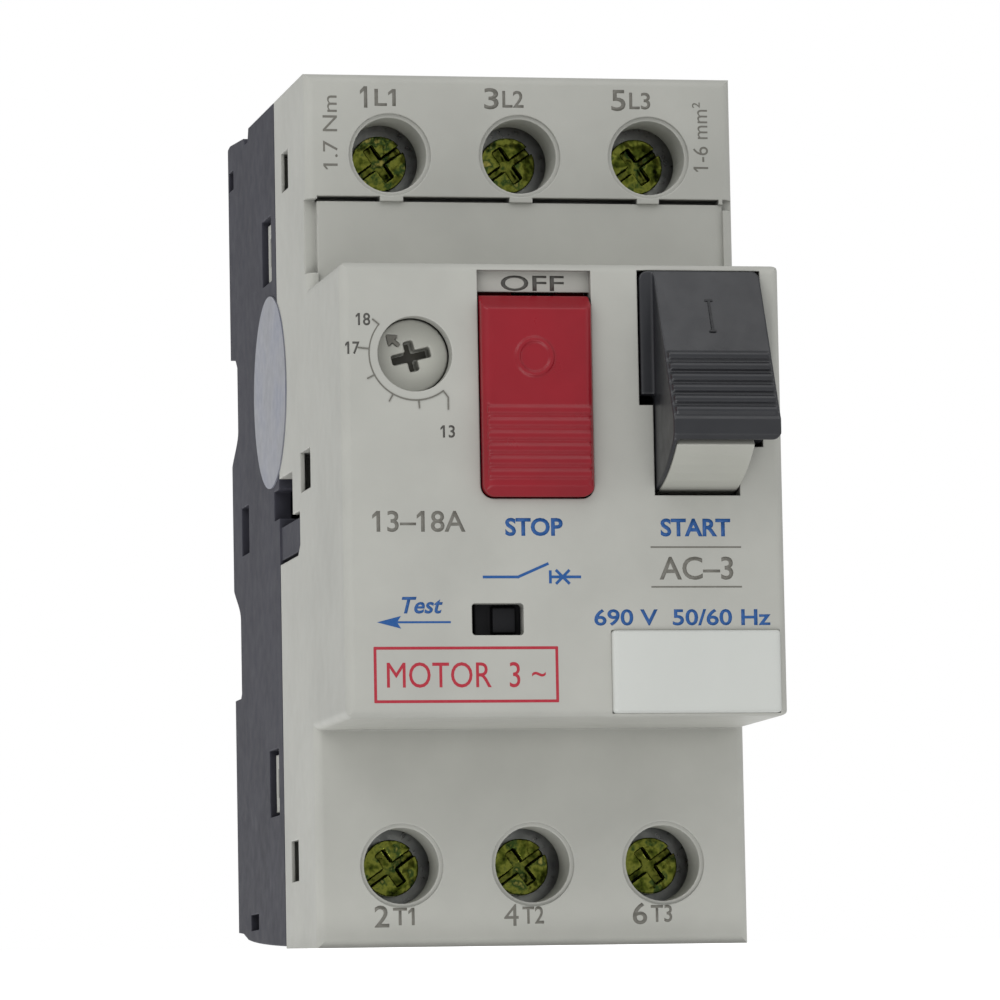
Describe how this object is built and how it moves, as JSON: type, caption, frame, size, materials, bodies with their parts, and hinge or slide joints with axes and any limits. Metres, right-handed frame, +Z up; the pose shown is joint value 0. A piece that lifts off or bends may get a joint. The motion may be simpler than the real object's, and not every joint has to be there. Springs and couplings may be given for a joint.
{
  "type": "motor protection breaker",
  "caption": "Rail-mounted three-pole motor protection breaker with start and stop rocker buttons, a current dial, a test slide and screw terminals at both ends.",
  "frame": {"origin": "centre of the rail seat in the back, on the front plane of the mounted rail", "axes": "+X to the right seen from the front, +Y to the rear (the face looks along -Y), +Z up along the height"},
  "size_m": [0.0447, 0.0784, 0.089],
  "materials": {
    "grey_housing": "satin",
    "dark_housing": "satin",
    "black_button": "satin",
    "red_button": "gloss",
    "light_plastic": "satin",
    "white_plate": "satin",
    "label_foil": "satin",
    "inner_plastic": "matte",
    "brown_plastic": "matte",
    "amber_plastic": "matte",
    "passivated_steel": "satin",
    "plated_steel": "satin",
    "spring_steel": "satin",
    "copper": "satin",
    "coil_wire": "gloss",
    "bimetal": "satin"
  },
  "bodies": {
    "case": {"base_shell": "dark_housing", "front_shell": "grey_housing", "mechanism_frame": "inner_plastic", "rail_latch_spring": "spring_steel", "label_plate": "white_plate", "round_label": "label_foil", "button_shaft": "spring_steel", "start_spring": "spring_steel", "stop_spring": "spring_steel", "toggle_pin": "spring_steel", "main_spring": "spring_steel", "latch_pin": "spring_steel", "fixed_contacts": "copper", "line_terminals": "copper", "load_terminals": "copper", "arc_chute_1": "plated_steel", "magnet_coil_1": "coil_wire", "magnet_yoke_1": "plated_steel", "bimetal_strip_1": "bimetal", "heater_winding_1": "coil_wire", "arc_chute_2": "plated_steel", "magnet_coil_2": "coil_wire", "magnet_yoke_2": "plated_steel", "bimetal_strip_2": "bimetal", "heater_winding_2": "coil_wire", "arc_chute_3": "plated_steel", "magnet_coil_3": "coil_wire", "magnet_yoke_3": "plated_steel", "bimetal_strip_3": "bimetal", "heater_winding_3": "coil_wire"},
    "rail_latch": {"rail_latch": "dark_housing"},
    "start_button": {"start_button": "black_button", "start_tongue": "light_plastic"},
    "stop_button": {"stop_button": "red_button"},
    "adjustment_dial": {"adjustment_dial": "light_plastic"},
    "test_slider": {"test_slider": "black_button"},
    "trip_bar": {"trip_bar": "amber_plastic"},
    "toggle_lever": {"toggle_lever": "plated_steel"},
    "latch_lever": {"latch_lever": "plated_steel"},
    "contact_carrier": {"contact_carrier": "brown_plastic", "contact_springs": "spring_steel", "contact_bridge_1": "copper", "contact_bridge_2": "copper", "contact_bridge_3": "copper"},
    "magnet_plunger_1": {"magnet_plunger_1": "spring_steel"},
    "magnet_plunger_2": {"magnet_plunger_2": "spring_steel"},
    "magnet_plunger_3": {"magnet_plunger_3": "spring_steel"},
    "line_clamp_1": {"line_clamp_1": "plated_steel"},
    "line_screw_1": {"line_screw_1": "passivated_steel"},
    "line_clamp_2": {"line_clamp_2": "plated_steel"},
    "line_screw_2": {"line_screw_2": "passivated_steel"},
    "line_clamp_3": {"line_clamp_3": "plated_steel"},
    "line_screw_3": {"line_screw_3": "passivated_steel"},
    "load_clamp_1": {"load_clamp_1": "plated_steel"},
    "load_screw_1": {"load_screw_1": "passivated_steel"},
    "load_clamp_2": {"load_clamp_2": "plated_steel"},
    "load_screw_2": {"load_screw_2": "passivated_steel"},
    "load_clamp_3": {"load_clamp_3": "plated_steel"},
    "load_screw_3": {"load_screw_3": "passivated_steel"}
  },
  "joints": [
    {"name": "start_hinge", "type": "hinge", "parent": "case", "child": "start_button", "pos_m": [0, -0.0608, 0.0164], "axis": [1, 0, 0], "range_deg": [0, 26]},
    {"name": "stop_hinge", "type": "hinge", "parent": "case", "child": "stop_button", "pos_m": [0, -0.0608, 0.0164], "axis": [-1, 0, 0], "range_deg": [0, 6.1]},
    {"name": "toggle_hinge", "type": "hinge", "parent": "case", "child": "toggle_lever", "pos_m": [0, -0.0448, -0.008], "axis": [-1, 0, 0], "range_deg": [0, 18.5]},
    {"name": "carrier_slide", "type": "slide", "parent": "case", "child": "contact_carrier", "axis": [0, 1, 0], "range_m": [0, 0.00248]},
    {"name": "dial_turn", "type": "hinge", "parent": "case", "child": "adjustment_dial", "pos_m": [-0.01485, -0.0608, 0.0114], "axis": [0, -1, 0], "range_deg": [0, 165]},
    {"name": "test_slide", "type": "slide", "parent": "case", "child": "test_slider", "axis": [-1, 0, 0], "range_m": [0, 0.0022], "stiffness_N_per_m": 300, "springref_m": -0.002},
    {"name": "trip_slide", "type": "slide", "parent": "case", "child": "trip_bar", "axis": [-1, 0, 0], "range_m": [0, 0.0023]},
    {"name": "latch_hinge", "type": "hinge", "parent": "case", "child": "latch_lever", "pos_m": [-0.001, -0.0411, -0.014], "axis": [0, 1, 0], "range_deg": [0, 19.5]},
    {"name": "rail_latch_slide", "type": "slide", "parent": "case", "child": "rail_latch", "axis": [0, 0, -1], "range_m": [0, 0.0028], "stiffness_N_per_m": 1500, "springref_m": -0.003, "deforming": ["rail_latch_spring"]},
    {"name": "plunger_1_slide", "type": "slide", "parent": "case", "child": "magnet_plunger_1", "axis": [0, 0, -1], "range_m": [0, 0.0015], "stiffness_N_per_m": 300, "springref_m": -0.002},
    {"name": "plunger_2_slide", "type": "slide", "parent": "case", "child": "magnet_plunger_2", "axis": [0, 0, -1], "range_m": [0, 0.0015], "stiffness_N_per_m": 300, "springref_m": -0.002},
    {"name": "plunger_3_slide", "type": "slide", "parent": "case", "child": "magnet_plunger_3", "axis": [0, 0, -1], "range_m": [0, 0.0015], "stiffness_N_per_m": 300, "springref_m": -0.002},
    {"name": "line_clamp_1_slide", "type": "slide", "parent": "case", "child": "line_clamp_1", "axis": [0, 1, 0], "range_m": [0, 0.0021]},
    {"name": "line_screw_1_turn", "type": "hinge", "parent": "line_clamp_1", "child": "line_screw_1", "pos_m": [-0.0135, -0.0388, 0.0342], "axis": [0, 1, 0], "range_deg": [0, 1080]},
    {"name": "line_clamp_2_slide", "type": "slide", "parent": "case", "child": "line_clamp_2", "axis": [0, 1, 0], "range_m": [0, 0.0021]},
    {"name": "line_screw_2_turn", "type": "hinge", "parent": "line_clamp_2", "child": "line_screw_2", "pos_m": [0, -0.0388, 0.0342], "axis": [0, 1, 0], "range_deg": [0, 1080]},
    {"name": "line_clamp_3_slide", "type": "slide", "parent": "case", "child": "line_clamp_3", "axis": [0, 1, 0], "range_m": [0, 0.0021]},
    {"name": "line_screw_3_turn", "type": "hinge", "parent": "line_clamp_3", "child": "line_screw_3", "pos_m": [0.0135, -0.0388, 0.0342], "axis": [0, 1, 0], "range_deg": [0, 1080]},
    {"name": "load_clamp_1_slide", "type": "slide", "parent": "case", "child": "load_clamp_1", "axis": [0, 1, 0], "range_m": [0, 0.0021]},
    {"name": "load_screw_1_turn", "type": "hinge", "parent": "load_clamp_1", "child": "load_screw_1", "pos_m": [-0.0135, -0.0388, -0.0382], "axis": [0, 1, 0], "range_deg": [0, 1080]},
    {"name": "load_clamp_2_slide", "type": "slide", "parent": "case", "child": "load_clamp_2", "axis": [0, 1, 0], "range_m": [0, 0.0021]},
    {"name": "load_screw_2_turn", "type": "hinge", "parent": "load_clamp_2", "child": "load_screw_2", "pos_m": [0, -0.0388, -0.0382], "axis": [0, 1, 0], "range_deg": [0, 1080]},
    {"name": "load_clamp_3_slide", "type": "slide", "parent": "case", "child": "load_clamp_3", "axis": [0, 1, 0], "range_m": [0, 0.0021]},
    {"name": "load_screw_3_turn", "type": "hinge", "parent": "load_clamp_3", "child": "load_screw_3", "pos_m": [0.0135, -0.0388, -0.0382], "axis": [0, 1, 0], "range_deg": [0, 1080]}
  ],
  "couplings": [
    {"joint": "start_hinge", "follows": "carrier_slide", "rad_per_m": 182.97},
    {"joint": "stop_hinge", "follows": "carrier_slide", "rad_per_m": 42.23},
    {"joint": "toggle_hinge", "follows": "carrier_slide", "rad_per_m": 128.08},
    {"joint": "trip_slide", "follows": "test_slide", "ratio": 1},
    {"joint": "latch_hinge", "follows": "test_slide", "rad_per_m": 150},
    {"joint": "line_screw_1_turn", "follows": "line_clamp_1_slide", "rad_per_m": 8975.9},
    {"joint": "line_screw_2_turn", "follows": "line_clamp_2_slide", "rad_per_m": 8975.9},
    {"joint": "line_screw_3_turn", "follows": "line_clamp_3_slide", "rad_per_m": 8975.9},
    {"joint": "load_screw_1_turn", "follows": "load_clamp_1_slide", "rad_per_m": 8975.9},
    {"joint": "load_screw_2_turn", "follows": "load_clamp_2_slide", "rad_per_m": 8975.9},
    {"joint": "load_screw_3_turn", "follows": "load_clamp_3_slide", "rad_per_m": 8975.9}
  ]
}
